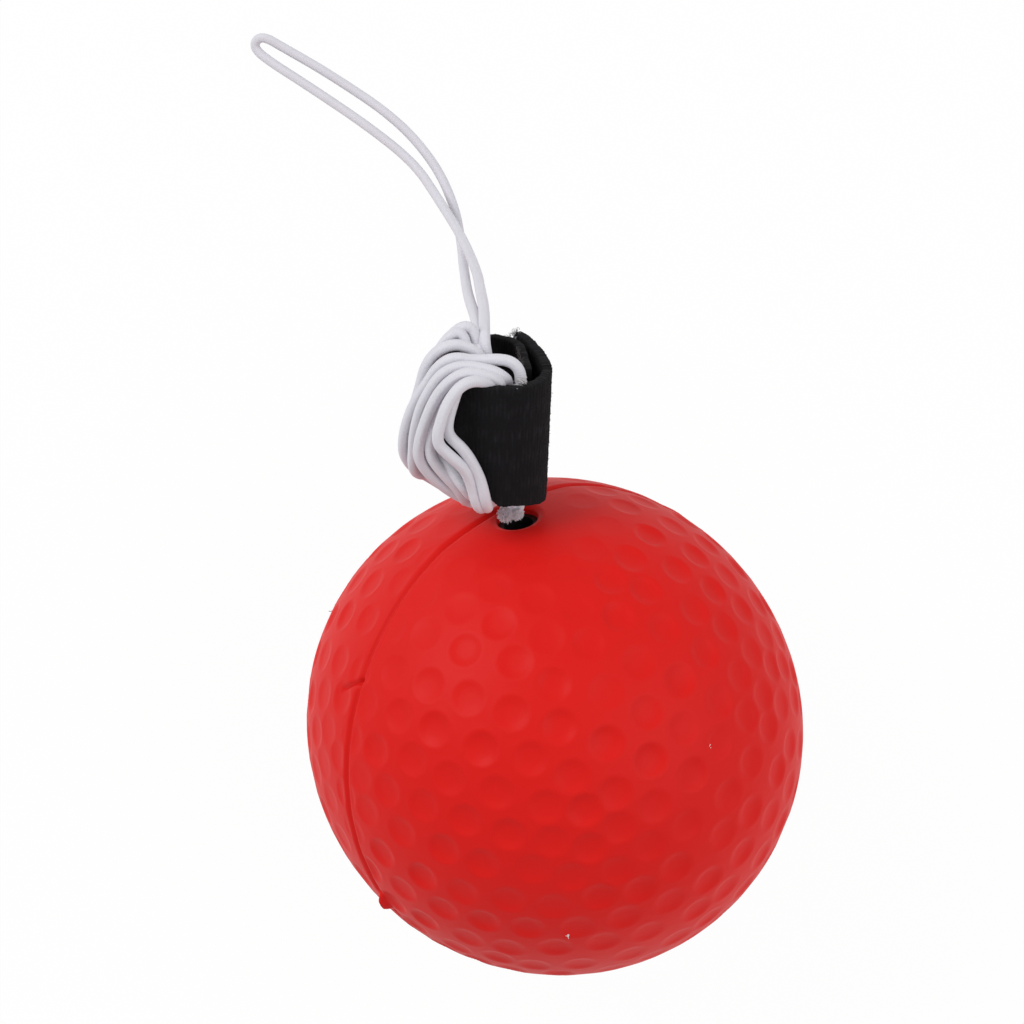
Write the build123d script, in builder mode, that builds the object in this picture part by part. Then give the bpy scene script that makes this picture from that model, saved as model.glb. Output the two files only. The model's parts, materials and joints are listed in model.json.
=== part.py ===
"""Reflex ball for a boxing headband, packed as it is sold.

A soft foam ball is moulded round an anchor, and a doubled elastic cord is tied to the anchor's
eye in the ball's bore. The cord is wound into a small hank, a hook-and-loop strap is wrapped
round one side of the hank, and the cord's free loop, which ties to a headband, hangs over the
strap's edge and lies on the table.

Frame: the origin is the middle of the flat on which the foam rests, +Z is up, and the bore lies
in the YZ plane and rises towards +Y. Lengths are in millimetres and angles in degrees.
"""

from build123d import *
import math
import os

# ---- driving dimensions: ball ----------------------------------------------------------------
ball_diameter = 64.0
rest_flat_diameter = 8.0  # estimated patch on which the soft foam rests; lifted, it is round
bore_diameter = 5.2
bore_rise = 39.5  # the bore's axis above the horizontal
mouth_chamfer = 0.6

# ---- driving dimensions: anchor in the bore --------------------------------------------------
anchor_length = 15.0
anchor_sink = 1.2  # its rim below the ball's surface
barb_height = 0.5
barb_length = 3.2
barb_count = 2
tip_chamfer = 0.8
eye_wall = 0.7  # of the rim round the eye's recess
eye_recess_depth = 4.4
eye_bar_diameter = 1.3
eye_bar_depth = 2.2  # the bar's axis below the anchor's rim

# ---- driving dimensions: strap ---------------------------------------------------------------
strap_width = 16.4
strap_thickness = 1.2
wrap_radius = 5.7  # its two bends, to the middle of the tape's thickness
strap_lift = 4.6  # its lower edge above the bore's mouth, on the strap's axis
strap_offset = 2.0  # its lower edge to the side of the bore's axis
strap_lean = 11.0
wrap_run = 3.3  # straight, from the wrap's front bend to its back bend
tail_radius = 3.6  # the inner end, which curls inwards
tail_start = 280.0
tail_run = 6.0  # straight, after its bend
fold_angle = 180.0  # where the flap leaves the wrap
fold_slit = 0.3
flap_radius = 24.0  # the outer end, which stands off
flap_turn = 25.0

# ---- driving dimensions: cord ----------------------------------------------------------------
cord_diameter = 1.4
knot_diameter = 3.3
knot_chamfer = 0.7
knot_rise = 0.8  # the knot's middle above the bore's mouth
knot_clearance = 0.25  # between the knot and the bore's wall
cut_end_length = 2.6
cut_end_splay = 38.0
turns_reach = 11.9  # from the strap's axis to the outside of the turns
turns_crown = 4.0  # top of the turns above the strap's upper edge
turns_foot = 2.5  # thickness of the turns that pass under the strap
turns_front = 7.5  # from the strap's axis to the front of the turns beside it
turns_back = 3.9
crossing_front = 4.7  # the same, for the turns that pass over the strap and under it
crossing_back = 3.5
turns_foot_reach = 9.1  # where the turns start to rise from the foot
turns_crown_reach = 7.0  # where they come over the crown
turns_belly = (5.1, 12.1)  # between these heights above the foot they stand furthest out
turns_bend = 4.0
foot_bend = 2.4
bundle_front = -0.3  # middle of the turns inside the strap, before the strap's axis
turns_rounding = 1.7
turns_clearance = 0.35  # between the turns and the strap

# The free loop's route: out of the hank, over the strap's edge, down to the table, round the
# bight and back. The way back crosses over the way out just before it touches the table.
loop_route = [
    (-0.5, 44.0, 64.9),
    (-0.3, 49.3, 56.7),
    (0.1, 57.0, 38.6),
    (1.1, 66.8, 16.6),
    (2.0, 74.6, 4.4),
    (2.3, 81.0, 0.75),
    (0.8, 88.2, 0.75),
    (-3.6, 96.4, 0.75),
    (-12.3, 105.5, 0.75),
    (-18.2, 110.6, 1.5),
    (-20.7, 112.6, 2.3),
    (-22.2, 112.4, 1.5),
    (-22.3, 111.2, 0.75),
    (-20.2, 108.7, 0.75),
    (-15.8, 104.3, 0.75),
    (-8.0, 96.1, 0.75),
    (-2.3, 89.0, 0.75),
    (0.0, 82.4, 2.5),
    (2.1, 74.0, 8.8),
    (2.6, 64.4, 23.4),
    (1.8, 57.1, 40.1),
    (0.8, 50.2, 57.1),
    (0.6, 45.1, 65.5),
]
bend_share = 0.45  # of the shorter run, used by each arc

# ---- shared positions ------------------------------------------------------------------------
ball_radius = ball_diameter / 2
bore_radius = bore_diameter / 2
rise = math.radians(bore_rise)
bore_direction = Vector(0, math.cos(rise), math.sin(rise))
ball_centre = Vector(0, 0, math.sqrt(ball_radius**2 - rest_flat_diameter**2 / 4))
bore_mouth = Plane(ball_centre + bore_direction * ball_radius, (-1, 0, 0), bore_direction)
bore_axis = Axis(bore_mouth.origin, bore_direction)
bore_section = Plane(bore_mouth.origin, bore_mouth.x_dir, -bore_mouth.y_dir)

lean = math.radians(strap_lean)
strap_axis = bore_mouth.z_dir * math.cos(lean) - bore_mouth.x_dir * math.sin(lean)
strap_side = bore_mouth.x_dir * math.cos(lean) + bore_mouth.z_dir * math.sin(lean)
strap_origin = bore_mouth.from_local_coords(Vector(strap_offset, 0, strap_lift))
strap_base = Plane(strap_origin, strap_side, strap_axis)
strap_section = Plane(strap_origin, strap_side, -strap_base.y_dir)
wrap_outside = wrap_radius + strap_thickness / 2
wrap_inside = wrap_radius - strap_thickness / 2

os.makedirs("parts", exist_ok=True)


# ---- anchor: a barbed plug with an eye, moulded in one piece -----------------------------------
def plug_outline():
    """Half outline of the plug, as radius and height over the bore's mouth."""
    rim = -anchor_sink
    tip = rim - anchor_length
    pitch = (anchor_length - 2 * tip_chamfer) / barb_count
    outline = [(0, tip), (0, rim), (bore_radius, rim)]
    for barb in range(barb_count):
        barb_foot = rim - pitch * (barb + 1)
        outline.append((bore_radius, barb_foot + barb_length))
        outline.append((bore_radius + barb_height, barb_foot + barb_length))
        outline.append((bore_radius, barb_foot))
    outline.append((bore_radius - tip_chamfer, tip))
    return outline


with BuildPart() as cord_anchor:
    with BuildSketch(bore_section):
        with BuildLine():
            Polyline(*plug_outline(), close=True)
        make_face()
    revolve(axis=bore_axis)
    with BuildSketch(bore_mouth.offset(-anchor_sink)):
        Circle(bore_radius - eye_wall)
    extrude(amount=-eye_recess_depth, mode=Mode.SUBTRACT)
    bar_centre = bore_mouth.origin - bore_direction * (anchor_sink + eye_bar_depth)
    with BuildSketch(Plane(bar_centre, bore_mouth.y_dir, bore_mouth.x_dir)):
        Circle(eye_bar_diameter / 2)
    extrude(amount=bore_radius - eye_wall / 2, both=True)
cord_anchor.part.label = "cord_anchor"

# ---- ball: foam moulded round the anchor ------------------------------------------------------
with BuildPart() as ball:
    with Locations(ball_centre):
        Sphere(ball_radius)
    split(bisect_by=Plane.XY, keep=Keep.TOP)
    with BuildSketch(bore_section):
        with BuildLine():
            Polyline(*plug_outline(), close=True)
        make_face()
        with BuildLine():
            Polyline(
                (0, -anchor_sink),
                (bore_radius, -anchor_sink),
                (bore_radius, -mouth_chamfer),
                (bore_radius + mouth_chamfer, 0),
                (0, 0),
                close=True,
            )
        make_face()
    revolve(axis=bore_axis, mode=Mode.SUBTRACT)
ball.part.label = "ball"

# ---- cord knot: tied to the anchor's bar, with its two cut ends --------------------------------
knot_offset = bore_radius - knot_diameter / 2 - knot_clearance
knot_plane = Plane(
    bore_mouth.from_local_coords(Vector(knot_offset, 0, knot_rise)),
    bore_mouth.x_dir,
    bore_mouth.z_dir,
)
bar_top = anchor_sink + eye_bar_depth - eye_bar_diameter / 2

with BuildPart() as cord_knot:
    with BuildSketch(knot_plane.offset(-knot_diameter / 2)):
        Circle(knot_diameter / 2)
    extrude(amount=knot_diameter)
    chamfer(cord_knot.edges(), knot_chamfer)
    with BuildSketch(bore_mouth.offset(-bar_top)):
        Circle(cord_diameter)  # the two ends of the cord, side by side
    extrude(amount=bar_top)
    splay = math.radians(cut_end_splay)
    for side in (-1, 1):
        end_direction = (
            knot_plane.y_dir * math.cos(splay) + knot_plane.x_dir * math.sin(splay) * side
        )
        with BuildSketch(Plane(knot_plane.origin, bore_direction, end_direction)):
            Circle(cord_diameter / 2)
        extrude(amount=cut_end_length)
cord_knot.part.label = "cord_knot"


# ---- strap: one tape, wrapped round the hank and lapped over its own end -----------------------
def tape_band(arcs, runs=()):
    """The tape's section: arcs (centre, radius, start and turn) and straight runs (end, length)."""
    with BuildSketch() as band:
        for end, run_length in runs:
            with Locations(end):
                Rectangle(strap_thickness, run_length, align=(Align.CENTER, Align.MIN))
        for centre, radius, start, sweep_angle in arcs:
            with BuildLine():
                outside = CenterArc(centre, radius + strap_thickness / 2, start, sweep_angle)
                inside = CenterArc(centre, radius - strap_thickness / 2, start, sweep_angle)
                Line(outside @ 0, inside @ 0)
                Line(outside @ 1, inside @ 1)
            make_face()
    return band.sketch_local


tail_shift = wrap_radius - tail_radius
tail_angle = math.radians(tail_start)
tail_side = tail_shift * math.cos(tail_angle)
tail_back = tail_shift * math.sin(tail_angle) - wrap_run
slit_angle = math.degrees(fold_slit / wrap_radius)
wrap_arcs = [
    ((tail_side, tail_back), tail_radius, tail_start, 180 - tail_start),
    ((0, -wrap_run), wrap_radius, tail_start, 360 - tail_start),
    ((0, 0), wrap_radius, 0, fold_angle - slit_angle),
]
wrap_runs = [
    ((tail_side - tail_radius, tail_back), tail_run),
    ((wrap_radius, -wrap_run), wrap_run),
]
flap_arcs = [((flap_radius - wrap_radius, 0), flap_radius, fold_angle, flap_turn)]

with BuildPart() as strap_wrap:
    with BuildSketch(strap_base):
        add(tape_band(wrap_arcs, wrap_runs))
    extrude(amount=strap_width)
strap_wrap.part.label = "strap_wrap"

with BuildPart() as strap_flap:
    with BuildSketch(strap_base):
        add(tape_band(flap_arcs))
    extrude(amount=strap_width)
strap_flap.part.label = "strap_flap"

# ---- cord hank: the outer shape of the wound turns, which pass through the strap ----------------
tail_inside = tail_side - tail_radius + strap_thickness / 2
bundle_edge = tail_inside + turns_clearance
bundle_radius = (wrap_inside - turns_clearance - bundle_edge) / 2
bundle_side = bundle_edge + bundle_radius
beside_strap = wrap_outside + turns_clearance
above_strap = strap_width + turns_clearance
crown_top = strap_width + turns_crown
foot_bottom = -turns_clearance - turns_foot


def turns_outline():
    """Outline of all the turns, seen from the strap's front."""
    with BuildSketch() as outline:
        with BuildLine():
            Polyline(
                (bundle_edge, foot_bottom),
                (turns_foot_reach, foot_bottom),
                (turns_reach, turns_belly[0]),
                (turns_reach, turns_belly[1]),
                (turns_crown_reach, crown_top),
                (bundle_edge, crown_top),
                close=True,
            )
        make_face()
        corners = outline.vertices().sort_by(Axis.X)
        fillet(corners[:2], foot_bend)
        fillet(corners[2:], turns_bend)
    return outline.sketch_local


with BuildPart() as cord_hank:
    with BuildSketch(strap_section.offset(-turns_front)):
        add(turns_outline())
    extrude(amount=turns_front + turns_back)
    rims = cord_hank.edges().group_by(Axis(strap_origin, strap_section.z_dir))
    fillet(rims[0] + rims[-1], turns_rounding)
    with BuildSketch(strap_section.offset(-turns_front)):
        with Locations((beside_strap, 0)):
            Rectangle(3 * turns_reach, 3 * crown_top, align=(Align.MAX, Align.CENTER))
    extrude(amount=turns_front + turns_back, mode=Mode.SUBTRACT)
    with BuildSketch(strap_section.offset(-crossing_front)):
        add(turns_outline())
        with Locations((beside_strap, -turns_clearance)):
            Rectangle(
                3 * turns_reach,
                above_strap + turns_clearance,
                align=(Align.MAX, Align.MIN),
                mode=Mode.SUBTRACT,
            )
    extrude(amount=crossing_front + crossing_back)
    with BuildSketch(strap_base.offset(-turns_clearance)):
        with Locations((bundle_side, bundle_front)):
            Circle(bundle_radius)
    extrude(amount=above_strap + turns_clearance)
cord_hank.part.label = "cord_hank"


# ---- cord loop: one tube along the route ---------------------------------------------------------
def bend_radii(route):
    """Each corner's arc radius, as large as its two runs allow."""
    points = [Vector(*point) for point in route]
    radii = []
    for before, corner, after in zip(points, points[1:], points[2:]):
        run_in = corner - before
        run_out = after - corner
        half_turn = math.radians(run_in.get_angle(run_out)) / 2
        shorter = min(run_in.length, run_out.length)
        radii.append(bend_share * shorter / math.tan(half_turn))
    return radii


loop_radii = bend_radii(loop_route)
with BuildPart() as cord_loop:
    with BuildLine() as loop_line:
        FilletPolyline(*loop_route, radius=loop_radii)
    with BuildSketch(Plane(loop_route[0], z_dir=loop_line.line % 0)):
        Circle(cord_diameter / 2)
    sweep()
cord_loop.part.label = "cord_loop"

loop_length = loop_line.wire().length
section_by_length = math.pi * cord_diameter**2 / 4 * loop_length
print("loop radii", [round(radius, 1) for radius in loop_radii])
print("loop length", round(loop_length, 1))
print("loop volume over section by length", round(cord_loop.part.volume / section_by_length, 4))

# ---- one STEP for each piece ---------------------------------------------------------------------
for piece in (ball, cord_anchor, cord_knot, strap_wrap, strap_flap, cord_hank, cord_loop):
    export_step(piece.part, f"parts/{piece.part.label}.step")
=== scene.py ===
"""Reflex ball for a boxing headband: foam ball, elastic cord wound in a hank, and its strap.

Laid out as an add-on: sizes and colours are properties, each piece is an operator, and a panel
lists them. Lengths are in metres and angles in radians, in the frame of the construction model.
"""

import itertools
import json
import math
import random

import bpy
import numpy as np
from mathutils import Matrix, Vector


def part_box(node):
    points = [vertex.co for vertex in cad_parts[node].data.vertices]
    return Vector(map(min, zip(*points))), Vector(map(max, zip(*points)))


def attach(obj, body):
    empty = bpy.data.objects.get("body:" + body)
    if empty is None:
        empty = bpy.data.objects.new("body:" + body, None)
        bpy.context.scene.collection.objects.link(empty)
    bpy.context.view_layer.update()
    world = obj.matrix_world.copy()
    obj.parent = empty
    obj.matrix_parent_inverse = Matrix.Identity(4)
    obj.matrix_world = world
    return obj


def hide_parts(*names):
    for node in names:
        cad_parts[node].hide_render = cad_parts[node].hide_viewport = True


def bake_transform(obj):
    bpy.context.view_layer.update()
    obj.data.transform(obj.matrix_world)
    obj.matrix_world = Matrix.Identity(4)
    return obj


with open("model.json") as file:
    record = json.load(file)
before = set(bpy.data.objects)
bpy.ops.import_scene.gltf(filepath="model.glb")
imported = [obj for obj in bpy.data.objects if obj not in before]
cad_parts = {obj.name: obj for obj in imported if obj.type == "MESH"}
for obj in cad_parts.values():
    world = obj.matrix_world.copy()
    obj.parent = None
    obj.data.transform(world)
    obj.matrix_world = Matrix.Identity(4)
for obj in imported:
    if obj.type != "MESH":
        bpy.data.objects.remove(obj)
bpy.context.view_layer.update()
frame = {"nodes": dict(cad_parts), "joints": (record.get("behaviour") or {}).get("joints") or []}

bl_info = {
    "name": "Reflex ball",
    "version": (1, 0, 0),
    "blender": (4, 5, 0),
    "location": "View3D > Sidebar > Reflex ball",
    "description": "Foam reflex ball with its wound elastic cord and hook-and-loop strap",
    "category": "Object",
}

MM = 0.001
BALL_BODY = "packed_ball"
FLAP_BODY = "strap_flap"

# ---- places in the construction model, read from its frame or repeated here ----------------------
ball_low, ball_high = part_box("ball")
BALL_RADIUS = (ball_high.x - ball_low.x) / 2
BALL_CENTRE = Vector((0, 0, ball_high.z - BALL_RADIUS))
BORE_RISE = math.radians(39.5)
BORE_DIRECTION = Vector((0, math.cos(BORE_RISE), math.sin(BORE_RISE)))
BORE_SIDE = Vector((-1, 0, 0))
BORE_FRONT = BORE_DIRECTION.cross(BORE_SIDE)
BORE_RADIUS = 2.6 * MM
ANCHOR_SINK = 1.2 * MM

FOLD = frame["joints"][0]
STRAP_AXIS = -Vector(FOLD["axis"]).normalized()
STRAP_FRONT = BORE_FRONT
STRAP_SIDE = STRAP_FRONT.cross(STRAP_AXIS)
STRAP_WIDTH = 16.4 * MM
FOLD_REACH = 6.3 * MM
FOLD_HEIGHT = 8.2 * MM
STRAP_BASE = Vector(FOLD["pos_m"]) + STRAP_SIDE * FOLD_REACH - STRAP_AXIS * FOLD_HEIGHT

CORD_DIAMETER = 1.4 * MM


def strap_point(side, front, up):
    """A point given in millimetres from the middle of the strap's lower edge."""
    offset = STRAP_SIDE * side + STRAP_FRONT * front + STRAP_AXIS * up
    return STRAP_BASE + offset * MM


# The free loop's route, out of the hank, over the table and back.
LOOP_ROUTE = [
    (-0.0006, 0.0440, 0.0649),
    (-0.0001, 0.0493, 0.0567),
    (0.0001, 0.0570, 0.0386),
    (0.0011, 0.0668, 0.0166),
    (0.0020, 0.0746, 0.0044),
    (0.0023, 0.0810, 0.00075),
    (0.0008, 0.0882, 0.00075),
    (-0.0036, 0.0964, 0.00075),
    (-0.0123, 0.1055, 0.00075),
    (-0.0182, 0.1106, 0.0015),
    (-0.0207, 0.1126, 0.0023),
    (-0.0222, 0.1124, 0.0015),
    (-0.0223, 0.1112, 0.00075),
    (-0.0202, 0.1087, 0.00075),
    (-0.0158, 0.1043, 0.00075),
    (-0.0080, 0.0961, 0.00075),
    (-0.0023, 0.0890, 0.00075),
    (0.0000, 0.0824, 0.0025),
    (0.0021, 0.0740, 0.0088),
    (0.0026, 0.0644, 0.0234),
    (0.0018, 0.0571, 0.0401),
    (0.0011, 0.0502, 0.0571),
    (0.0002, 0.0451, 0.0655),
]

# The wound turns, in millimetres from the strap's base. Each is the side and front of its way up
# inside the strap, then side, front and up of its way over the crown, down the outside and under.
FIRST_STRAND_TURNS = [
    # a high turn that lies across the others and goes in by the strap's inner end
    (
        (-2.2, 3.2),
        [(-2.2, 3.1, 16.4), (-1.8, 2.9, 17.6), (-0.8, 2.6, 18.3), (0.6, 2.3, 18.4), (2.2, 2.0, 18.2)],
        [(3.8, 1.9, 18.2), (5.3, 1.8, 18.5), (6.6, 1.8, 18.2), (7.8, 1.5, 16.9), (8.7, 1.2, 15.0)],
        [(9.8, 0.9, 13.0), (10.7, 0.6, 10.7), (11.3, 0.3, 8.0), (11.4, -0.1, 5.6), (10.8, -0.9, 3.6)],
        [(9.5, -2.0, 1.7), (7.6, -2.7, 0.1), (5.4, -2.7, -1.5), (2.6, -1.8, -2.6), (0.6, 0.4, -2.2)],
    ),
    # its outside end turns away from the table like a hook
    (
        (-0.8, 2.9),
        [(-0.6, 3.3, 16.0), (0.0, 3.8, 16.8), (1.1, 3.7, 17.5), (2.5, 3.5, 17.8), (4.1, 3.2, 18.0)],
        [(5.5, 3.1, 17.9), (6.7, 2.9, 17.3), (7.8, 2.8, 16.2), (8.7, 2.7, 14.5), (9.5, 2.5, 12.6)],
        [(10.0, 2.2, 10.4), (10.3, 1.9, 8.0), (10.3, 1.6, 6.0), (10.3, 1.1, 4.3), (10.0, 0.4, 2.9)],
        [(9.3, -0.5, 1.9), (8.1, -1.2, 1.5), (6.4, -1.5, 0.1), (4.6, -1.2, -1.4), (2.6, -0.2, -1.9)],
    ),
    # crosses down to the lower edge of the hank
    (
        (-0.1, 4.2),
        [(0.3, 4.3, 16.2), (1.4, 4.5, 17.1), (2.8, 4.5, 17.6), (4.2, 4.5, 17.8), (5.4, 4.5, 17.5)],
        [(6.6, 4.5, 16.6), (7.7, 4.4, 15.2), (8.6, 4.4, 13.3), (9.4, 4.4, 10.9), (9.9, 4.3, 8.7)],
        [(10.0, 4.1, 6.9), (9.3, 3.8, 5.1), (8.1, 3.4, 3.5), (6.7, 3.0, 2.0)],
        [(5.4, 2.6, 0.8), (4.2, 2.2, -0.1), (3.2, 1.6, -1.1), (2.5, 0.4, -1.7), (2.1, -0.7, -0.9)],
    ),
    # the highest, at the back
    (
        (2.2, -0.7),
        [(2.5, -1.0, 16.4), (2.6, -1.7, 17.9), (2.7, -2.3, 19.2), (3.1, -2.7, 20.2), (4.0, -2.8, 20.5)],
        [(5.1, -2.8, 19.8), (6.3, -2.8, 18.3), (7.5, -2.8, 16.3), (8.4, -2.8, 14.3), (9.1, -2.8, 12.2)],
        [(9.7, -2.8, 9.9), (10.2, -2.8, 7.4), (10.3, -2.8, 5.0), (9.7, -2.8, 2.9)],
        [(8.3, -2.8, 1.1), (6.5, -2.8, -0.4), (4.6, -2.5, -1.7), (2.6, -0.9, -2.3), (1.7, 1.5, -1.6)],
    ),
    # the front turn but one, which bends sharply beside the strap
    (
        (1.2, 3.9),
        [(1.2, 4.3, 16.0), (2.4, 5.0, 16.8), (3.8, 5.7, 17.3), (5.1, 6.2, 17.1), (6.2, 6.6, 16.1)],
        [(7.1, 6.9, 14.6), (7.7, 7.2, 12.8), (8.1, 7.3, 11.1), (7.9, 7.3, 9.8), (6.9, 7.3, 8.7)],
        [(5.6, 7.2, 7.4), (4.6, 6.9, 6.1), (4.0, 6.6, 4.6), (3.6, 6.4, 3.3), (3.3, 6.4, 2.1)],
        [(2.9, 6.1, 0.9), (2.4, 5.0, -0.1), (1.7, 3.4, -0.8), (0.9, 2.0, -0.7)],
    ),
]
SECOND_STRAND_TURNS = [
    (
        (1.9, 1.2),
        [(1.8, 0.9, 16.2), (2.2, 0.4, 17.7), (3.0, 0.1, 18.5), (4.2, 0.0, 19.1), (5.5, 0.0, 19.4)],
        [(6.8, 0.0, 19.0), (8.0, 0.0, 18.1), (8.9, 0.0, 16.5), (9.3, -0.2, 14.4), (9.8, -0.5, 12.1)],
        [(10.4, -0.8, 9.8), (10.8, -1.1, 7.2), (10.6, -1.5, 4.7), (9.8, -2.0, 2.8)],
        [(8.3, -2.3, 1.2), (6.6, -2.3, -0.2), (4.8, -2.0, -1.4), (2.8, -0.6, -2.0), (1.7, 1.3, -1.2)],
    ),
    (
        (1.2, 2.6),
        [(1.5, 3.2, 15.9), (2.4, 3.8, 16.7), (3.6, 4.0, 17.0), (4.9, 3.5, 16.6), (5.9, 3.3, 15.7)],
        [(6.9, 3.5, 14.5), (7.7, 3.8, 12.8), (8.3, 4.1, 10.8), (8.7, 4.3, 8.8), (8.5, 4.4, 6.9)],
        [(7.7, 4.4, 5.5), (6.5, 4.2, 3.9), (5.3, 3.9, 2.4), (4.5, 3.3, 0.9), (3.9, 2.2, -0.5)],
        [(3.7, 0.8, -1.2), (3.6, -0.1, -0.4)],
    ),
    (
        (3.5, 0.3),
        [(3.9, -0.1, 16.2), (3.9, -0.9, 18.0), (4.1, -1.6, 19.4), (4.8, -1.9, 20.1), (5.7, -1.8, 19.8)],
        [(6.7, -1.6, 18.6), (7.6, -1.5, 17.0), (8.3, -1.4, 15.0), (8.7, -1.3, 12.9), (9.2, -1.1, 10.7)],
        [(9.6, -1.0, 8.3), (9.6, -1.0, 5.8), (8.7, -0.9, 3.6)],
        [(7.4, -0.8, 1.9), (5.8, -0.6, 0.3), (4.4, 0.0, -0.9), (3.1, 1.4, -1.1), (2.7, 2.5, -0.5)],
    ),
    # the front turn, which lies against the strap
    (
        (2.7, 3.1),
        [(3.0, 3.3, 15.9), (3.8, 3.9, 16.9), (4.8, 4.5, 16.9), (5.6, 5.0, 15.9), (6.2, 5.5, 14.2)],
        [(6.7, 5.9, 12.5), (6.8, 6.2, 11.1), (6.3, 6.5, 10.2), (5.2, 6.7, 9.2), (4.2, 6.7, 7.8)],
        [(3.5, 6.7, 6.4), (2.9, 6.7, 5.1), (2.5, 6.8, 3.8), (2.2, 6.8, 2.5)],
        [(1.9, 6.4, 1.2), (1.5, 5.3, 0.1), (1.7, 3.8, -0.6), (2.6, 2.5, -0.6)],
    ),
    (
        (3.5, 1.8),
        [(3.7, 1.9, 15.8), (4.5, 2.1, 16.7), (5.7, 2.2, 16.8), (6.6, 2.4, 15.9), (7.1, 2.6, 14.2)],
        [(7.5, 2.8, 12.0), (7.8, 2.9, 9.8), (7.8, 3.1, 7.8), (7.2, 3.5, 6.3), (6.3, 4.0, 5.2)],
        [(5.5, 4.5, 4.2), (4.7, 4.9, 3.1), (3.9, 4.6, 1.9), (3.1, 3.4, 0.6), (2.2, 2.0, -0.5)],
        [(1.2, 0.6, -0.7)],
    ),
]
# how high the control points inside the strap lie
INSIDE_HEIGHTS = (1.2, 4.5, 8.5, 12.5)
# where both strands leave the knot
KNOT_EXIT = ((-2.5, 0.0, -3.4), (-1.9, 0.0, -1.6))
# the two cut ends below the knot: a seed, the root, the tip and how far the fibres flare
CUT_ENDS = (
    (5, (-1.7, 0.1, -3.2), (-0.9, 1.7, -3.4), 1.5),
    (6, (-2.5, 0.1, -3.2), (-2.9, 1.4, -3.5), 1.2),
)
# each strand's last way up inside the strap, as side and front, and its way out to the loop
LAST_INSIDES = ((0.5, 1.4), (0.6, -0.2))
LOOP_EXITS = (
    [(1.2, 0.6, 15.5), (1.9, -0.4, 17.2), (2.4, -1.3, 18.1)],
    [(1.0, -0.4, 15.5), (1.5, -0.8, 17.6), (1.7, -1.4, 18.9)],
)
# the knot's middle and the scale of its turns, in millimetres: side, front and up
KNOT_MIDDLE = (-2.2, -0.2, -2.6)
KNOT_SIZE = (0.36, 0.3, 0.5)
KNOT_POINTS = 90
# the fibres of a cut end: how many, points in each, thickness at both ends and how far they wander
FIBRES = 260
FIBRE_POINTS = 7
FIBRE_RADII = (0.07 * MM, 0.045 * MM)
FIBRE_WANDER = 0.035 * MM
# the solid part of a cut end, as shares of the way from its root to its tip
STUB_SHARES = np.linspace(-0.2, 0.62, 7)


def srgb(red, green, blue):
    """A display colour of 0 to 255 as the linear colour that the shaders take."""
    linear = []
    for channel in (red, green, blue):
        share = channel / 255
        linear.append(share / 12.92 if share <= 0.04045 else ((share + 0.055) / 1.055) ** 2.4)
    return linear


# ---- what a user would change --------------------------------------------------------------------
class BallSettings(bpy.types.PropertyGroup):
    """Sizes and colours of the foam ball"""

    dimple_diameter: bpy.props.FloatProperty(
        name="Dimple diameter", description="Width of a dimple", default=4.3 * MM, unit="LENGTH"
    )
    dimple_depth: bpy.props.FloatProperty(
        name="Dimple depth", description="Depth of a full dimple", default=0.44 * MM, unit="LENGTH"
    )
    dimple_frequency: bpy.props.IntProperty(
        name="Dimple frequency", description="Dimples along an edge of the lattice", default=7, min=2
    )
    dimple_jitter: bpy.props.FloatProperty(
        name="Dimple jitter",
        description="Unevenness of the dimples' places",
        default=0.34 * MM,
        unit="LENGTH",
    )
    squeeze: bpy.props.FloatProperty(
        name="Squeeze", description="How far the soft ball is out of round", default=0.41 * MM, unit="LENGTH"
    )
    seam_angle: bpy.props.FloatProperty(
        name="Seam angle",
        description="Turn of the mould seam about the bore",
        default=math.radians(31),
        subtype="ANGLE",
    )
    seam_tilt: bpy.props.FloatProperty(
        name="Seam tilt",
        description="Lean of the mould seam off the bore",
        default=math.radians(5),
        subtype="ANGLE",
    )
    tear_length: bpy.props.FloatProperty(
        name="Tear length", description="Length of the tear beside the seam", default=3.8 * MM, unit="LENGTH"
    )
    seam_depth: bpy.props.FloatProperty(
        name="Seam depth", description="Depth of the line at the mould seam", default=0.4 * MM, unit="LENGTH"
    )
    flash_height: bpy.props.FloatProperty(
        name="Flash height",
        description="Height of the torn skin left on the seam",
        default=0.55 * MM,
        unit="LENGTH",
    )
    foam_colour: bpy.props.FloatVectorProperty(
        name="Foam colour",
        description="Colour of the foam's skin",
        default=srgb(211, 24, 20),
        subtype="COLOR",
    )


class CordSettings(bpy.types.PropertyGroup):
    """Sizes and colours of the elastic cord"""

    diameter: bpy.props.FloatProperty(
        name="Cord diameter", description="Thickness of the cord", default=CORD_DIAMETER, unit="LENGTH"
    )
    weave_pitch: bpy.props.FloatProperty(
        name="Weave pitch", description="Length of one stitch of the cover", default=0.5 * MM, unit="LENGTH"
    )
    cord_colour: bpy.props.FloatVectorProperty(
        name="Cord colour",
        description="Colour of the woven cover",
        default=srgb(217, 215, 223),
        subtype="COLOR",
    )
    thread_colour: bpy.props.FloatVectorProperty(
        name="Thread colour",
        description="Colour of the frayed threads",
        default=srgb(226, 219, 225),
        subtype="COLOR",
    )


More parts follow.
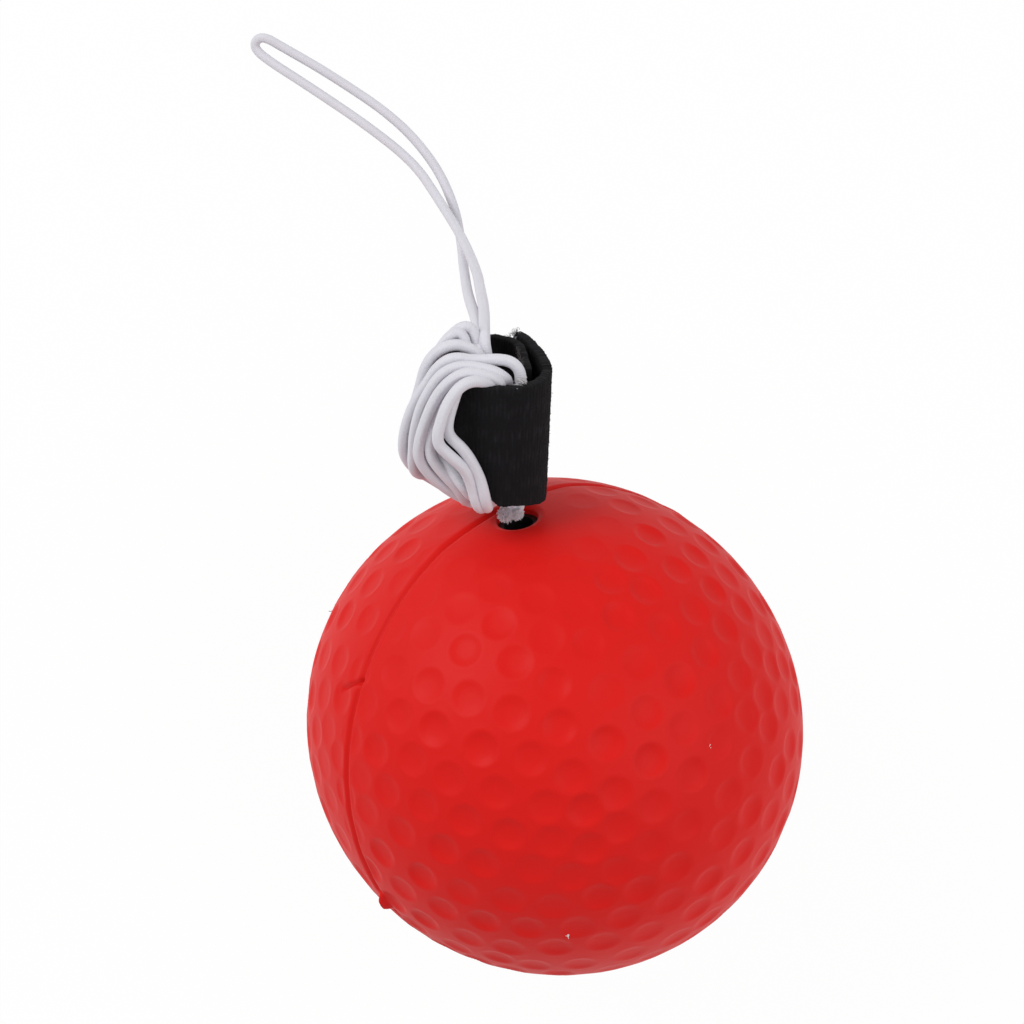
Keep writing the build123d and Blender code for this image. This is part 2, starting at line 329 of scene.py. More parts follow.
class StrapSettings(bpy.types.PropertyGroup):
    """Sizes and colours of the hook-and-loop strap"""

    tape_thickness: bpy.props.FloatProperty(
        name="Tape thickness", description="Thickness of the tape", default=1.2 * MM, unit="LENGTH"
    )
    rib_pitch: bpy.props.FloatProperty(
        name="Rib pitch", description="Distance between the woven ribs", default=0.46 * MM, unit="LENGTH"
    )
    strap_colour: bpy.props.FloatVectorProperty(
        name="Strap colour", description="Colour of the tape", default=srgb(18, 17, 19), subtype="COLOR"
    )
    loose_thread_colour: bpy.props.FloatVectorProperty(
        name="Loose thread colour",
        description="Colour of the white threads",
        default=srgb(205, 203, 205),
        subtype="COLOR",
    )
    lint_colour: bpy.props.FloatVectorProperty(
        name="Lint colour",
        description="Colour of the lint on the edges",
        default=srgb(70, 65, 64),
        subtype="COLOR",
    )
    # the anchor's near-black is partly its own colour and partly painted shade inside the bore
    anchor_and_bore_shade_colour: bpy.props.FloatVectorProperty(
        name="Anchor colour",
        description="Colour of the plastic anchor",
        default=srgb(14, 14, 15),
        subtype="COLOR",
    )


# ---- mesh helpers --------------------------------------------------------------------------------
def grid_mesh(name, rows, close_rows=False, close_columns=False, caps=False):
    """A mesh through rows of points, rows by columns by 3, with its UVs along both."""
    count, width = rows.shape[:2]
    mesh = bpy.data.meshes.new(name)
    faces = []
    for i in range(count if close_rows else count - 1):
        below = (i + 1) % count
        for j in range(width if close_columns else width - 1):
            right = (j + 1) % width
            faces.append((i * width + j, i * width + right, below * width + right, below * width + j))
    if caps:
        faces.append(tuple(range(width - 1, -1, -1)))
        faces.append(tuple((count - 1) * width + j for j in range(width)))
    mesh.from_pydata(rows.reshape(-1, 3).tolist(), [], faces)
    mesh.polygons.foreach_set("use_smooth", [True] * len(mesh.polygons))
    return mesh


def lengths_along(points):
    """Running length of a line of points."""
    steps = np.linalg.norm(np.diff(points, axis=0), axis=1)
    return np.concatenate([[0.0], np.cumsum(steps)])


def tube_rows(points, radii, around):
    """Rings of points round a line, carried along it without twist."""
    tangents = np.gradient(points, axis=0)
    tangents /= np.linalg.norm(tangents, axis=1)[:, None]
    start = np.array([0.0, 0.0, 1.0]) if abs(tangents[0][2]) < 0.9 else np.array([1.0, 0.0, 0.0])
    side = start - tangents[0] * (start @ tangents[0])
    rows = []
    angles = np.linspace(0, 2 * math.pi, around, endpoint=False)
    for point, tangent, radius in zip(points, tangents, radii):
        side = side - tangent * (side @ tangent)
        side /= np.linalg.norm(side)
        other = np.cross(tangent, side)
        ring = np.outer(np.cos(angles), side) + np.outer(np.sin(angles), other)
        rows.append(point + ring * radius)
    return np.array(rows)


def tube_mesh(name, points, radii, around):
    """A closed tube along a line, with a UV map of length and turn in metres and turns."""
    rows = tube_rows(points, radii, around)
    mesh = grid_mesh(name, rows, close_columns=True, caps=True)
    along = lengths_along(points)
    uv = mesh.uv_layers.new(name="cover")
    for polygon in mesh.polygons:
        for loop in polygon.loop_indices:
            vertex = mesh.loops[loop].vertex_index
            row, column = divmod(vertex, around)
            turn = column / around
            if column == 0 and len(polygon.vertices) == 4 and max(polygon.vertices) % around == around - 1:
                turn = 1.0
            uv.data[loop].uv = (along[row], turn)
    return mesh


def smooth_line(name, control_points, steps):
    """The points of a smooth open NURBS line with these control points."""
    curve = bpy.data.curves.new(name, "CURVE")
    curve.dimensions = "3D"
    spline = curve.splines.new("NURBS")
    spline.points.add(len(control_points) - 1)
    for point, place in zip(spline.points, control_points):
        point.co = (*place, 1.0)
    spline.order_u = 3
    spline.use_endpoint_u = True
    spline.resolution_u = steps
    guide = bpy.data.objects.new(name, curve)
    mesh = bpy.data.meshes.new_from_object(guide)
    line = np.array([vertex.co for vertex in mesh.vertices], float)
    bpy.data.meshes.remove(mesh)
    bpy.data.objects.remove(guide)
    bpy.data.curves.remove(curve)
    keep = np.concatenate([[True], np.linalg.norm(np.diff(line, axis=0), axis=1) > 1e-7])
    return line[keep]


def add_piece(name, mesh, material):
    """Links a mesh as a piece of the object with its material and material slot."""
    piece = bpy.data.objects.new(name, mesh)
    bpy.context.scene.collection.objects.link(piece)
    mesh.materials.append(material)
    return piece


def joined_mesh(name, meshes):
    """One mesh of several."""
    builder = bpy.data.meshes.new(name)
    vertices, faces = [], []
    for mesh in meshes:
        offset = len(vertices)
        vertices.extend(tuple(vertex.co) for vertex in mesh.vertices)
        faces.extend(tuple(offset + index for index in polygon.vertices) for polygon in mesh.polygons)
        bpy.data.meshes.remove(mesh)
    builder.from_pydata(vertices, [], faces)
    builder.polygons.foreach_set("use_smooth", [True] * len(faces))
    return builder


def frayed_threads(seed, origin, direction, count, length, spread, radius):
    """Thin curling threads that stand out of a cut end, as a list of meshes."""
    rng = random.Random(seed)
    threads = []
    for _ in range(count):
        start = Vector(origin) + Vector([rng.uniform(-1, 1) for _ in range(3)]) * spread * 0.45
        heading = Vector(direction).normalized()
        heading = heading + Vector([rng.uniform(-1, 1) for _ in range(3)]) * 0.75
        points = [start]
        reach = length * rng.uniform(0.45, 1.0)
        for _ in range(6):
            heading = (heading + Vector([rng.uniform(-1, 1) for _ in range(3)]) * 0.45).normalized()
            points.append(points[-1] + heading * reach / 6)
        line = np.array([tuple(point) for point in points])
        radii = np.linspace(radius, radius * 0.5, len(line))
        rows = tube_rows(line, radii, 5)
        threads.append(grid_mesh("thread", rows, close_columns=True, caps=True))
    return threads


# ---- shader groups -------------------------------------------------------------------------------
def new_group(name, inputs, outputs):
    """An empty shader group with named sockets, and its input and output nodes."""
    group = bpy.data.node_groups.new(name, "ShaderNodeTree")
    for label, kind, default in inputs:
        socket = group.interface.new_socket(label, in_out="INPUT", socket_type=kind)
        if default is not None:
            socket.default_value = default
    for label, kind in outputs:
        group.interface.new_socket(label, in_out="OUTPUT", socket_type=kind)
    return group, group.nodes.new("NodeGroupInput"), group.nodes.new("NodeGroupOutput")


def add_math(nodes, links, operation, *values):
    """A Math node's output, from numbers and other nodes' outputs."""
    node = nodes.new("ShaderNodeMath")
    node.operation = operation
    for socket, value in zip(node.inputs, values):
        if isinstance(value, (int, float)):
            socket.default_value = value
        else:
            links.new(value, socket)
    return node.outputs[0]


def mottle_group():
    """Slow patches of a second colour over a first, with a fine grain for relief."""
    group, given, made = new_group(
        "Mottle",
        [
            ("Colour", "NodeSocketColor", None),
            ("Patch Colour", "NodeSocketColor", None),
            ("Patch Scale", "NodeSocketFloat", 60.0),
            ("Patch Amount", "NodeSocketFloat", 0.3),
            ("Grain Scale", "NodeSocketFloat", 2500.0),
        ],
        [("Colour", "NodeSocketColor"), ("Grain", "NodeSocketFloat")],
    )
    nodes, links = group.nodes, group.links
    place = nodes.new("ShaderNodeTexCoord")
    patches = nodes.new("ShaderNodeTexNoise")
    patches.inputs["Detail"].default_value = 3.0
    grain = nodes.new("ShaderNodeTexNoise")
    grain.inputs["Detail"].default_value = 4.0
    mix = nodes.new("ShaderNodeMix")
    mix.data_type = "RGBA"
    links.new(place.outputs["Object"], patches.inputs["Vector"])
    links.new(place.outputs["Object"], grain.inputs["Vector"])
    links.new(given.outputs["Patch Scale"], patches.inputs["Scale"])
    links.new(given.outputs["Grain Scale"], grain.inputs["Scale"])
    amount = add_math(nodes, links, "MULTIPLY", patches.outputs["Fac"], given.outputs["Patch Amount"])
    links.new(amount, mix.inputs["Factor"])
    links.new(given.outputs["Colour"], mix.inputs["A"])
    links.new(given.outputs["Patch Colour"], mix.inputs["B"])
    links.new(mix.outputs["Result"], made.inputs["Colour"])
    links.new(grain.outputs["Fac"], made.inputs["Grain"])
    return group


def ribs_group():
    """Crossed fine ribs from a UV map, as a height: a woven tape or a braided cover."""
    group, given, made = new_group(
        "Woven ribs",
        [
            ("Along", "NodeSocketFloat", 1000.0),
            ("Across", "NodeSocketFloat", 6.0),
            ("Slant", "NodeSocketFloat", 1.0),
        ],
        [("Height", "NodeSocketFloat")],
    )
    nodes, links = group.nodes, group.links
    place = nodes.new("ShaderNodeUVMap")
    place.uv_map = "cover"
    parts = nodes.new("ShaderNodeSeparateXYZ")
    links.new(place.outputs["UV"], parts.inputs[0])
    along = add_math(nodes, links, "MULTIPLY", parts.outputs["X"], given.outputs["Along"])
    across = add_math(nodes, links, "MULTIPLY", parts.outputs["Y"], given.outputs["Across"])
    slanted = add_math(nodes, links, "MULTIPLY", across, given.outputs["Slant"])
    waves = []
    for operation in ("ADD", "SUBTRACT"):
        phase = add_math(nodes, links, operation, along, slanted)
        waves.append(add_math(nodes, links, "SINE", phase))
    links.new(add_math(nodes, links, "MULTIPLY", *waves), made.inputs["Height"])
    return group


def shared_group(name, make):
    """The shader group of this name, built once."""
    return bpy.data.node_groups.get(name) or make()


def new_material(name):
    """A material with only its Principled shader and output."""
    material = bpy.data.materials.new(name)
    material.use_nodes = True
    nodes = material.node_tree.nodes
    return material, nodes, material.node_tree.links, nodes["Principled BSDF"]


def add_group(nodes, group, **values):
    """A group's node in a material, with values set on its named inputs."""
    node = nodes.new("ShaderNodeGroup")
    node.node_tree = group
    for label, value in values.items():
        node.inputs[label.replace("_", " ")].default_value = value
    return node


def add_bump(nodes, links, height, shader, distance, strength=1.0):
    """Relief from a height into a shader's normal."""
    bump = nodes.new("ShaderNodeBump")
    bump.inputs["Distance"].default_value = distance
    bump.inputs["Strength"].default_value = strength
    links.new(height, bump.inputs["Height"])
    links.new(bump.outputs["Normal"], shader.inputs["Normal"])


def foam_material(colour):
    """Skinned foam: a soft satin red with faint patches and a very fine grain."""
    material, nodes, links, shader = new_material("foam_skin")
    paler = [min(1.0, channel * 1.08 + 0.002) for channel in colour]
    mottle = add_group(
        nodes,
        shared_group("Mottle", mottle_group),
        Colour=(*colour, 1.0),
        Patch_Colour=(*paler, 1.0),
        Patch_Scale=70.0,
        Patch_Amount=0.6,
        Grain_Scale=1800.0,
    )
    links.new(mottle.outputs["Colour"], shader.inputs["Base Color"])
    shader.inputs["Roughness"].default_value = 0.5
    shader.inputs["Specular IOR Level"].default_value = 0.12
    add_bump(nodes, links, mottle.outputs["Grain"], shader, 0.02 * MM)
    return material


def cord_material(colour, pitch):
    """The braided cover of the elastic cord."""
    material, nodes, links, shader = new_material("cord_cover")
    darker = [channel * 0.86 for channel in colour]
    mottle = add_group(
        nodes,
        shared_group("Mottle", mottle_group),
        Colour=(*colour, 1.0),
        Patch_Colour=(*darker, 1.0),
        Patch_Scale=260.0,
        Patch_Amount=0.5,
        Grain_Scale=4000.0,
    )
    braid = add_group(
        nodes, shared_group("Woven ribs", ribs_group), Along=2 * math.pi / pitch, Across=6 * math.pi
    )
    links.new(mottle.outputs["Colour"], shader.inputs["Base Color"])
    shader.inputs["Roughness"].default_value = 0.62
    shader.inputs["Sheen Weight"].default_value = 0.15
    add_bump(nodes, links, braid.outputs["Height"], shader, 0.02 * MM)
    return material


def thread_material(name, colour):
    """Loose threads at a cut end."""
    material, nodes, links, shader = new_material(name)
    darker = [channel * 0.8 for channel in colour]
    mottle = add_group(
        nodes,
        shared_group("Mottle", mottle_group),
        Colour=(*colour, 1.0),
        Patch_Colour=(*darker, 1.0),
        Patch_Scale=900.0,
        Patch_Amount=0.6,
    )
    links.new(mottle.outputs["Colour"], shader.inputs["Base Color"])
    shader.inputs["Roughness"].default_value = 0.7
    return material


def strap_material(colour, pitch):
    """Woven black tape with fine ribs and pale worn streaks."""
    material, nodes, links, shader = new_material("strap_tape")
    paler = [channel * 3.4 + 0.004 for channel in colour]
    mottle = add_group(
        nodes,
        shared_group("Mottle", mottle_group),
        Colour=(*colour, 1.0),
        Patch_Colour=(*paler, 1.0),
        Patch_Scale=1300.0,
        Grain_Scale=3500.0,
    )
    ribs = add_group(
        nodes,
        shared_group("Woven ribs", ribs_group),
        Along=math.pi / pitch,
        Across=math.pi / (0.5 * MM),
        Slant=0.15,
    )
    place = nodes.new("ShaderNodeUVMap")
    place.uv_map = "cover"
    stretch = nodes.new("ShaderNodeMapping")
    stretch.inputs["Scale"].default_value = (1 / (0.45 * MM), 1 / (2.2 * MM), 1.0)
    streaks = nodes.new("ShaderNodeTexNoise")
    streaks.inputs["Scale"].default_value = 1.0
    links.new(place.outputs["UV"], stretch.inputs["Vector"])
    links.new(stretch.outputs["Vector"], streaks.inputs["Vector"])
    uneven = add_math(nodes, links, "MULTIPLY_ADD", streaks.outputs["Fac"], 2.4, -1.2)
    worn = add_math(nodes, links, "MULTIPLY_ADD", ribs.outputs["Height"], 0.35, uneven)
    worn.node.use_clamp = True
    links.new(worn, mottle.inputs["Patch Amount"])
    links.new(mottle.outputs["Colour"], shader.inputs["Base Color"])
    shader.inputs["Roughness"].default_value = 0.95
    shader.inputs["Specular IOR Level"].default_value = 0.15
    add_bump(nodes, links, ribs.outputs["Height"], shader, 0.03 * MM)
    return material


def anchor_and_bore_shade_material(colour):
    """Moulded plastic in near-black, which is partly the anchor's own colour and partly painted shade inside
    the shallow bore.
    """
    material, nodes, links, shader = new_material("anchor_with_painted_bore_shade")
    paler = [channel * 1.6 + 0.002 for channel in colour]
    mottle = add_group(
        nodes,
        shared_group("Mottle", mottle_group),
        Colour=(*colour, 1.0),
        Patch_Colour=(*paler, 1.0),
        Patch_Scale=700.0,
    )
    links.new(mottle.outputs["Colour"], shader.inputs["Base Color"])
    shader.inputs["Roughness"].default_value = 0.45
    add_bump(nodes, links, mottle.outputs["Grain"], shader, 0.02 * MM)
    return material


# ---- cord ----------------------------------------------------------------------------------------
def strand_points(turns, last_inside, loop_exit):
    """A strand's control points: up from the knot, round its turns and out to the loop."""
    places = list(KNOT_EXIT)
    for inside, *stretches in turns:
        places.extend((*inside, height) for height in INSIDE_HEIGHTS)
        for stretch in stretches:
            places.extend(stretch)
    places.extend((*last_inside, height) for height in INSIDE_HEIGHTS)
    places.extend(loop_exit)
    return [tuple(strap_point(*place)) for place in places]


def cord_points():
    """Control points of the whole cord, from the knot round to the knot again."""
    first = strand_points(FIRST_STRAND_TURNS, LAST_INSIDES[0], LOOP_EXITS[0])
    second = strand_points(SECOND_STRAND_TURNS, LAST_INSIDES[1], LOOP_EXITS[1])
    return first + LOOP_ROUTE + second[::-1]


def knot_line():
    """A small overhand knot under the strap as a closed line, in metres."""
    side, front, up = KNOT_MIDDLE
    wide, deep, high = KNOT_SIZE
    line = []
    for t in np.linspace(0, 2 * math.pi, KNOT_POINTS, endpoint=False):
        to_side = (math.sin(t) + 2 * math.sin(2 * t)) * wide
        to_front = (math.cos(t) - 2 * math.cos(2 * t)) * deep
        line.append(strap_point(side + to_side, front + to_front, up - math.sin(3 * t) * high))
    return np.array([tuple(point) for point in line])


def cut_end(seed, root, tip, radius, flare):
    """The tuft of fibres that a cut cord opens into, as a list of meshes."""
    rng = np.random.default_rng(seed)
    heading = tip - root
    sideways = heading.orthogonal().normalized()
    other = heading.normalized().cross(sideways)
    shares = np.linspace(0, 1, FIBRE_POINTS)
    fibres = []
    for _ in range(FIBRES):
        turn = rng.uniform(0, 2 * math.pi)
        out = math.sqrt(rng.uniform(0, 1))
        across = np.array(sideways * math.cos(turn) + other * math.sin(turn)) * out * radius
        reach = (1 - 0.3 * out**2) * rng.uniform(0.86, 1.06)
        wander = np.cumsum(rng.normal(0, FIBRE_WANDER, (FIBRE_POINTS, 3)), axis=0)
        line = np.array(root) + np.outer(shares * reach, np.array(heading)) + wander
        line += np.outer(1 + (flare - 1) * shares**1.5, across)
        rows = tube_rows(line, np.linspace(*FIBRE_RADII, FIBRE_POINTS), 5)
        fibres.append(grid_mesh("fibre", rows, close_columns=True, caps=True))
    return fibres


class REFLEXBALL_OT_cord(bpy.types.Operator):
    """Makes the elastic cord with its turns and free loop, its knot and its cut ends"""

    bl_idname = "reflexball.cord"
    bl_label = "Make the cord"

    def execute(self, context):
        settings = context.scene.reflex_cord
        radius = settings.diameter / 2
        cover = cord_material(settings.cord_colour, settings.weave_pitch)
        line = smooth_line("cord_route", cord_points(), 10)
        tube = tube_mesh("elastic_cord", line, np.full(len(line), radius), 16)
        cord = add_piece("elastic_cord", tube, cover)
        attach(cord, BALL_BODY)
        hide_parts("cord_hank", "cord_loop", "cord_knot")

        rows = tube_rows(knot_line(), np.full(KNOT_POINTS, radius * 0.8), 12)
        turns = grid_mesh("knot_turns", rows, close_rows=True, close_columns=True)
        knot = add_piece("knot_turns", turns, cover)
        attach(knot, BALL_BODY)

        stubs, threads = [], []
        for seed, root, tip, flare in CUT_ENDS:
            root, tip = strap_point(*root), strap_point(*tip)
            stub = np.array([tuple(root.lerp(tip, share)) for share in STUB_SHARES])
            rows = tube_rows(stub, np.full(len(stub), radius), 14)
            stubs.append(grid_mesh("stub", rows, close_columns=True, caps=True))
            threads.extend(cut_end(seed, root, tip, radius, flare))
        ends = add_piece("cord_cut_ends", joined_mesh("cord_cut_ends", stubs), cover)
        fuzz_finish = thread_material("cord_threads", settings.thread_colour)
        fuzz = add_piece("cord_end_threads", joined_mesh("cord_end_threads", threads), fuzz_finish)
        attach(ends, BALL_BODY)
        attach(fuzz, BALL_BODY)
        return {"FINISHED"}


# ---- ball ----------------------------------------------------------------------------------------
# where the skin is rubbed smooth: a direction from the ball's centre, how much, how far it spreads
WORN_PATCHES = (
    ((-0.52, 0.43, 0.73), 0.7, 0.03),
    ((0.05, -0.93, 0.36), 0.35, 0.12),
    ((-0.88, -0.05, 0.47), 0.5, 0.07),
)

# lint on the skin: a piece's name and colour, then each speck's seed, direction and length
LINT = (
    ("white_lint", (235, 230, 228), ((3, (0.52, -0.26, 0.81), 0.6), (8, (-0.13, -0.83, 0.55), 0.8))),
    ("dark_lint", (60, 30, 34), ((4, (-0.76, 0.63, 0.12), 1.6),)),
)
LINT_SINK = 0.1 * MM
LINT_SPREAD = 0.3 * MM
LINT_RADIUS = 0.07 * MM

# the soft ball's unevenness: its long and short way, how far it swells, and leans towards +Y
LONG_WAY = np.array([-0.558, 0.830, 0.0])
SHORT_WAY = np.array([0.830, 0.558, 0.0])
SKIN_SWELL = 0.15 * MM
SKIN_LEAN = 0.26 * MM

# the mould seam, whose places along it are angles in radians from the bore
SEAM_OFFSET = 0.43 * MM
# where it leaves its plane: the place, how far, and how long the bend is before and after it
SEAM_BENDS = ((-0.95, 6 * MM, 0.8, 0.33), (2.4, 3 * MM, 0.2, 0.2))
SEAM_MARGIN = 1.1 * MM
SEAM_WIDTH = 0.34 * MM
STEP_HEIGHT = 0.15 * MM
STEP_WIDTH = 0.12 * MM
STEP_RUN = 2.5 * MM
# where torn skin stands on the seam, and the tab: the place and half the length
FLASH_PATCHES = ((-0.68, 0.15), (2.15, 0.27))
FLASH_TAB = (1.89, 0.045)
TAB_HEIGHT = 2.2
FLASH_WIDTH = 0.3 * MM
TEAR_PLACE = 0.9
TEAR_SLANT = 0.65
TEAR_DEPTH = 0.8 * MM
TEAR_WIDTH = 0.28 * MM
TEAR_OVERLAP = 0.5 * MM

# the skin's mesh: points in a ring, rings from the bore to the far side, and the bore's rounded lip
RING_POINTS = 600
SKIN_RINGS = 380
LAST_TILT = math.pi - 0.004
BORE_LIP = 0.7 * MM
# how many directions are worked out at once
BLOCK = 20000


def lattice_directions(frequency):
    """Directions of an even lattice over the sphere, from a divided icosahedron."""
    golden = (1 + math.sqrt(5)) / 2
    corners = []
    for a in (-1, 1):
        for b in (-golden, golden):
            corners.extend([(0, a, b), (a, b, 0), (b, 0, a)])
    corners = np.array(corners) / math.hypot(1, golden)
    edge = min(np.linalg.norm(corners[0] - corner) for corner in corners[1:])
    found = {}
    for first, second, third in itertools.combinations(corners, 3):
        sides = (first - second, second - third, first - third)
        if any(abs(np.linalg.norm(side) - edge) >= 1e-6 for side in sides):
            continue
        for a in range(frequency + 1):
            for b in range(frequency + 1 - a):
                point = first * a + second * b + third * (frequency - a - b)
                point = point / np.linalg.norm(point)
                found[tuple(np.round(point, 5))] = point
    return np.array([found[key] for key in sorted(found)])


def hump(values, middle, half_width, power=2):
    """1 at the middle and smoothly down to 0 on both sides."""
    return np.exp(-(((values - middle) / half_width) ** power))


def dimple_relief(directions, settings):
    """The dimples' cups and raised rims, shallower where the skin is worn and none at the bore."""
    rng = np.random.default_rng(7)
    dimples = lattice_directions(settings.dimple_frequency)
    jitter = settings.dimple_jitter / BALL_RADIUS
    dimples = dimples + rng.normal(0, jitter, dimples.shape)
    dimples /= np.linalg.norm(dimples, axis=1)[:, None]
    depths = settings.dimple_depth * rng.uniform(0.55, 1.15, len(dimples))
    towards_bore = dimples @ np.array(BORE_DIRECTION)
    depths *= 0.2 + 0.8 * np.clip((0.95 - towards_bore) / 0.08, 0.0, 1.0)
    depths *= np.clip((0.98 - towards_bore) / 0.02, 0.0, 1.0)
    for direction, amount, spread in WORN_PATCHES:
        depths *= 1 - amount * np.exp((dimples @ np.array(direction) - 1) / spread)
    radius = settings.dimple_diameter / 2
    relief = np.zeros(len(directions))
    for start in range(0, len(directions), BLOCK):
        block = directions[start : start + BLOCK]
        closeness = block @ dimples.T
        nearest = np.argmax(closeness, axis=1)
        cosines = np.clip(closeness[np.arange(len(block)), nearest], -1, 1)
        share = np.arccos(cosines) * BALL_RADIUS / radius
        cup = np.clip(1 - share**2.2, 0, 1)
        cup = cup * cup * (3 - 2 * cup) * 0.5 + cup * 0.5
        rim = hump(share, 1.08, 0.14) * 0.05
        relief[start : start + BLOCK] = depths[nearest] * (rim - cup)
    return relief


def seam_places(directions, settings):
    """Each direction's place along the mould seam, as an angle, and its distance off it."""
    front, side, bore = (np.array(way) for way in (BORE_FRONT, BORE_SIDE, BORE_DIRECTION))
    across = front * math.cos(settings.seam_angle) - side * math.sin(settings.seam_angle)
    along = front * math.sin(settings.seam_angle) + side * math.cos(settings.seam_angle)
    normal = across * math.cos(settings.seam_tilt) + bore * math.sin(settings.seam_tilt)
    turn = np.arctan2(directions @ along, directions @ bore)
    off_seam = directions @ normal * BALL_RADIUS + SEAM_OFFSET
    for place, shift, before, after in SEAM_BENDS:
        off_seam -= shift * hump(turn, place, np.where(turn > place, after, before))
    return turn, off_seam


def flash_share(turn):
    """How high the torn skin stands along the seam, as a share of its full height."""
    torn = 0.42 + np.sin(turn * 37 + 1) * 0.22 + np.sin(turn * 101) * 0.12 + np.sin(turn * 211) * 0.1
    patches = sum(hump(turn, *patch, 4) for patch in FLASH_PATCHES)
    return torn * patches + TAB_HEIGHT * hump(turn, *FLASH_TAB, 4)


def ball_relief(directions, settings):
    """How far the foam's skin stands out of the plain sphere in each direction, in metres."""
    turn, off_seam = seam_places(directions, settings)
    relief = dimple_relief(directions, settings)
    relief *= 1 - hump(off_seam, 0, SEAM_MARGIN)
    relief -= settings.seam_depth * hump(off_seam, 0, SEAM_WIDTH)
    step = 1 / (1 + np.exp(np.clip(off_seam / STEP_WIDTH, -30, 30)))
    relief += STEP_HEIGHT * step * np.exp(-np.abs(off_seam) / STEP_RUN)
    relief += settings.flash_height * flash_share(turn) * hump(off_seam, 0, FLASH_WIDTH)
    # a short tear runs off the seam at a slant
    off_tear = (turn - TEAR_PLACE) * BALL_RADIUS + off_seam * TEAR_SLANT
    tear_share = np.clip(1 + off_seam / settings.tear_length, 0, 1)
    tear_share = tear_share * np.clip(1 - off_seam / TEAR_OVERLAP, 0, 1)
    relief -= TEAR_DEPTH * np.sqrt(tear_share) * hump(off_tear, 0, TEAR_WIDTH)
    oval = (directions @ LONG_WAY) ** 2 - (directions @ SHORT_WAY) ** 2
    loose_skin = settings.squeeze * oval + SKIN_SWELL + SKIN_LEAN * directions[:, 1]
    relief += loose_skin * np.clip((1 - directions @ np.array(BORE_DIRECTION)) / 0.05, 0, 1)
    return relief


def eased_columns(count, seam_turn):
    """Angles round the bore, closer together at the two halves of the seam."""
    spread = np.linspace(0, 2 * math.pi, count, endpoint=False)
    return seam_turn + spread - 0.5 * np.sin(2 * spread) / 2


def ball_mesh(settings):
    """The dimpled skin, in rings round the bore, with its open bore and rounded lip."""
    columns = eased_columns(RING_POINTS, math.pi / 2 - settings.seam_angle)
    front, side, axis = (np.array(way) for way in (BORE_FRONT, BORE_SIDE, BORE_DIRECTION))
    outward = np.outer(np.cos(columns), front) + np.outer(np.sin(columns), side)
    centre = np.array(BALL_CENTRE)
    first_tilt = math.asin((BORE_RADIUS + BORE_LIP) / BALL_RADIUS)
    skin_top = math.cos(first_tilt) * BALL_RADIUS
    wall_foot = BALL_RADIUS - ANCHOR_SINK
    rows = []
    for reach in (0.0, 0.35, 0.7):
        height = wall_foot + (skin_top - wall_foot) * reach * 0.5
        rows.append(centre + outward * BORE_RADIUS + axis * height)
    for bend in np.linspace(0, math.pi / 2, 6)[:-1]:
        radius = BORE_RADIUS + BORE_LIP * (1 - math.cos(bend))
        height = skin_top - BORE_LIP * 0.45 * (1 - math.sin(bend))
        rows.append(centre + outward * radius + axis * height)
    tilts = np.linspace(first_tilt, LAST_TILT, SKIN_RINGS)
    directions = np.array([axis * math.cos(t) + outward * math.sin(t) for t in tilts]).reshape(-1, 3)
    skin = centre + directions * (BALL_RADIUS + ball_relief(directions, settings))[:, None]
    # the ball rests on the table, so nothing of it is lower
    skin[:, 2] = np.maximum(skin[:, 2], 0.0)
    rows.extend(skin.reshape(SKIN_RINGS, RING_POINTS, 3))
    rings = grid_mesh("foam_ball", np.array(rows), close_columns=True)
    vertices = [tuple(vertex.co) for vertex in rings.vertices]
    faces = [tuple(polygon.vertices) for polygon in rings.polygons]
    bpy.data.meshes.remove(rings)
    # the far side closes in a fan round one more point
    last = len(vertices) - RING_POINTS
    vertices.append(tuple(centre - axis * BALL_RADIUS))
    fan = range(RING_POINTS)
    faces.extend((last + (j + 1) % RING_POINTS, len(vertices) - 1, last + j) for j in fan)
    mesh = bpy.data.meshes.new("foam_ball")
    mesh.from_pydata(vertices, [], faces)
    mesh.polygons.foreach_set("use_smooth", [True] * len(faces))
    return mesh


class REFLEXBALL_OT_ball(bpy.types.Operator):
    """Makes the dimpled foam ball with its seam and bore"""

    bl_idname = "reflexball.ball"
    bl_label = "Make the ball"

    def execute(self, context):
        settings = context.scene.reflex_ball
        ball = add_piece("foam_ball", ball_mesh(settings), foam_material(settings.foam_colour))
        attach(ball, BALL_BODY)
        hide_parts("ball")
        for name, colour, specks in LINT:
            threads = []
            for seed, direction, length in specks:
                outward = Vector(direction).normalized()
                place = BALL_CENTRE + outward * (BALL_RADIUS - LINT_SINK)
                speck = (seed, place, outward, 2, length * MM, LINT_SPREAD, LINT_RADIUS)
                threads += frayed_threads(*speck)
            lint = add_piece(name, joined_mesh(name, threads), thread_material(name, srgb(*colour)))
            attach(lint, BALL_BODY)
        return {"FINISHED"}


class REFLEXBALL_OT_anchor(bpy.types.Operator):
    """Finishes the plastic anchor at the bottom of the bore, in a near-black that also paints the shade
    inside the bore
    """

    bl_idname = "reflexball.anchor"
    bl_label = "Finish the anchor"

    def execute(self, context):
        settings = context.scene.reflex_strap
        anchor = frame["nodes"]["cord_anchor"]
        # its near-black finish also paints the shade inside the shallow bore
        anchor.data.materials.clear()
        anchor.data.materials.append(anchor_and_bore_shade_material(settings.anchor_and_bore_shade_colour))
        return {"FINISHED"}


# ---- strap ---------------------------------------------------------------------------------------
# the strap's sizes, in millimetres and degrees
WRAP_REACH = 5.7
WRAP_RUN = 3.3
TAIL_REACH = 3.6
TAIL_START = 280.0
TAIL_RUN = 6.0
FLAP_REACH = 24.0
FLAP_TURN = 25.0
SKEW = 2.8  # how far the turns push the lower edge up beside them
TAIL_SIDE = (WRAP_REACH - TAIL_REACH) * math.cos(math.radians(TAIL_START))
TAIL_BACK = (WRAP_REACH - TAIL_REACH) * math.sin(math.radians(TAIL_START)) - WRAP_RUN
